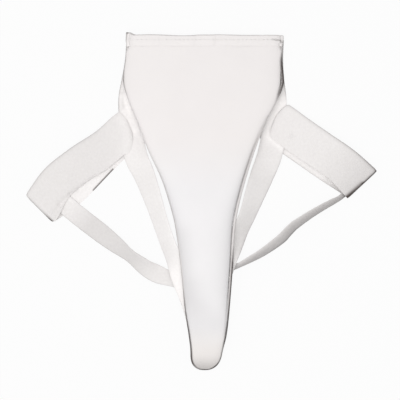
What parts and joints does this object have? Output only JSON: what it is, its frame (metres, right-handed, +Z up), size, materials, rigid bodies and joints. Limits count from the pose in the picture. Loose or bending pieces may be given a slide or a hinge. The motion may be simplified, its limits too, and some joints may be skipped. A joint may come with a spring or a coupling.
{
  "type": "groin guard",
  "caption": "Domed cloth groin guard that tapers to a narrow rounded tip, with a hemmed pocket mouth, elastic side straps, a waist belt folded at the hips and leg straps.",
  "frame": {"origin": "on the surface it lies on, under the middle of the whole guard's box", "axes": "+X across the hips, towards the picture's right; +Y from the pouch's tip towards the waist; +Z up out of the pouch's front"},
  "size_m": [0.3506, 0.3395, 0.0398],
  "materials": {
    "panel_cloth": "smooth matt coated cloth",
    "lining_cloth": "plain matt lining cloth",
    "tape": "matt folded tape, stitched",
    "elastic": "matt knitted elastic webbing"
  },
  "bodies": {
    "root": {"front_panel": "panel_cloth", "back_panel": "lining_cloth", "edge_binding": "tape", "top_hem": "tape", "side_strap_left": "elastic", "side_strap_right": "elastic", "waist_belt": "elastic", "leg_strap_left": "elastic", "leg_strap_right": "elastic"}
  },
  "joints": []
}
